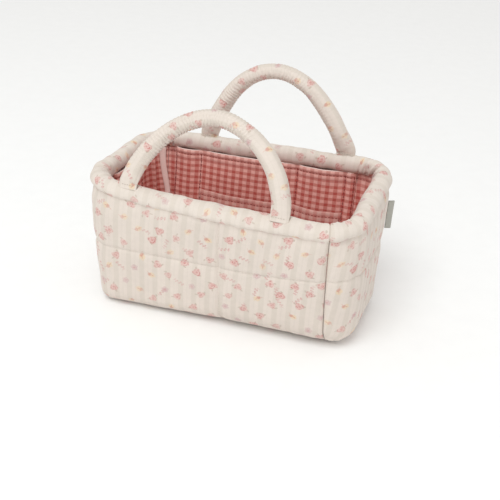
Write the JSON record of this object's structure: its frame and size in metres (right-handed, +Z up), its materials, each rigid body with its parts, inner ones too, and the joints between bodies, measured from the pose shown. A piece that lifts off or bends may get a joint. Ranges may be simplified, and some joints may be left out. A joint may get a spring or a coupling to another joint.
{
  "type": "quilted storage basket",
  "caption": "Open rectangular basket of quilted printed cloth with a rolled rim, checked lining, wall pockets, a blank tab and two arched rope handles.",
  "frame": {"origin": "middle of the flat underside of the basket, on the surface it stands on", "axes": "+X along the length to the right end, +Y from the front wall to the back wall, +Z up"},
  "size_m": [0.2323, 0.1359, 0.1872],
  "materials": {
    "printed_cloth": "cream cotton with a small rose print, quilted",
    "wadding": "soft white polyester wadding",
    "checked_cloth": "coral and white gingham cotton",
    "binding": "pale pink cotton binding",
    "rope": "undyed cotton rope",
    "label": "folded grey satin tape, blank"
  },
  "bodies": {
    "basket": {"outer_front_panel": "printed_cloth", "front_wadding": "wadding", "front_lining": "checked_cloth", "outer_right_end_panel": "printed_cloth", "right_end_wadding": "wadding", "right_end_lining": "checked_cloth", "outer_back_panel": "printed_cloth", "back_wadding": "wadding", "back_lining": "checked_cloth", "outer_left_end_panel": "printed_cloth", "left_end_wadding": "wadding", "left_end_lining": "checked_cloth", "outer_base_panel": "printed_cloth", "base_wadding": "wadding", "base_lining": "checked_cloth", "rim_cover": "printed_cloth", "rim_wadding": "wadding", "front_pocket": "checked_cloth", "right_end_pocket": "checked_cloth", "back_pocket": "checked_cloth", "left_end_pocket": "checked_cloth", "back_lower_pocket": "checked_cloth", "pocket_join_strip": "binding"},
    "front_handle": {"front_handle_sleeve": "printed_cloth", "front_handle_rope": "rope"},
    "back_handle": {"back_handle_sleeve": "printed_cloth", "back_handle_rope": "rope"},
    "label_tab": {"label_tab": "label"}
  },
  "joints": [
    {"name": "front_handle_swing", "type": "hinge", "parent": "basket", "child": "front_handle", "pos_m": [-0.0085, -0.059, 0.11782], "axis": [0.9994, 0, -0.0345], "range_deg": [-32, 120]},
    {"name": "back_handle_swing", "type": "hinge", "parent": "basket", "child": "back_handle", "pos_m": [0.0085, 0.059, 0.12168], "axis": [-0.9996, 0, -0.0272], "range_deg": [-62, 90]},
    {"name": "label_tab_flip", "type": "hinge", "parent": "basket", "child": "label_tab", "pos_m": [0.10988, 0.03931, 0.07716], "axis": [0.035, 0.0852, 0.9957], "range_deg": [-60, 60]}
  ]
}
